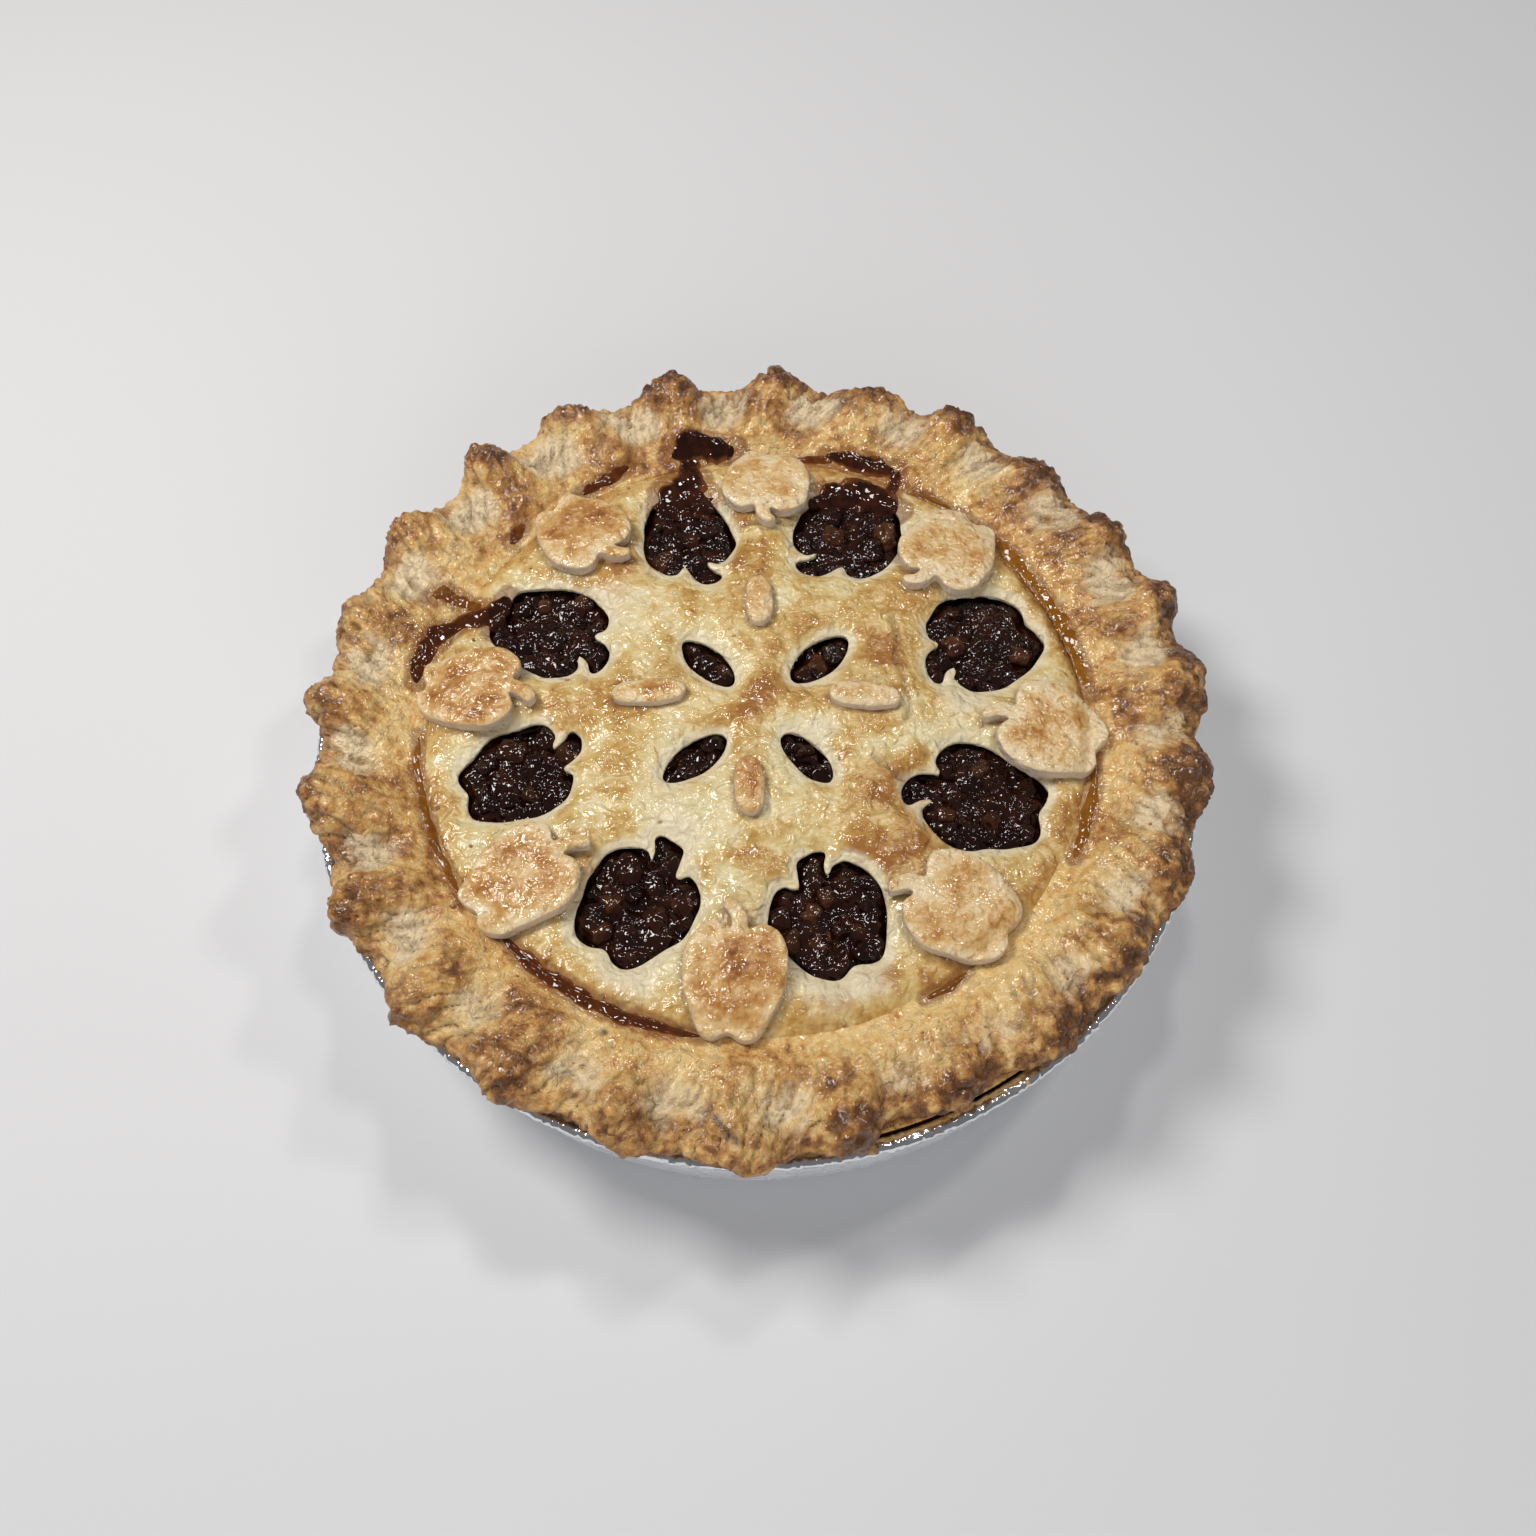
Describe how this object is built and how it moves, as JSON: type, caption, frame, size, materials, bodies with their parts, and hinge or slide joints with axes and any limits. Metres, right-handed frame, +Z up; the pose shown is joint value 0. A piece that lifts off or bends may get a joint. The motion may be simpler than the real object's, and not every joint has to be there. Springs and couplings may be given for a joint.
{
  "type": "apple pie",
  "caption": "Round apple pie in its foil tin, with a pinched rim, a lid with apple-shaped windows over dark filling, and pastry apples laid on it.",
  "frame": {"origin": "middle of the tin's flat base, on the surface the pie stands on", "axes": "+Z up; -Y is the side nearest the viewer"},
  "size_m": [0.225, 0.225, 0.0507],
  "materials": {
    "foil": "bright crimped foil",
    "crust": "baked pastry, browned on its ridges, floury in its folds",
    "lid": "egg-washed pastry, pale gold with brown patches",
    "pastry": "egg-washed pastry, golden top and pale cut sides",
    "filling": "wet dark brown syrup over diced fruit"
  },
  "bodies": {
    "root": {"foil_tin": "foil", "pastry_shell": "crust", "filling": "filling", "pastry_lid": "lid", "pastry_apple_1": "pastry", "pastry_apple_2": "pastry", "pastry_apple_3": "pastry", "pastry_apple_4": "pastry", "pastry_apple_5": "pastry", "pastry_apple_6": "pastry", "pastry_apple_7": "pastry", "pastry_apple_8": "pastry", "pastry_pip_1": "pastry", "pastry_pip_2": "pastry", "pastry_pip_3": "pastry", "pastry_pip_4": "pastry"}
  },
  "joints": []
}
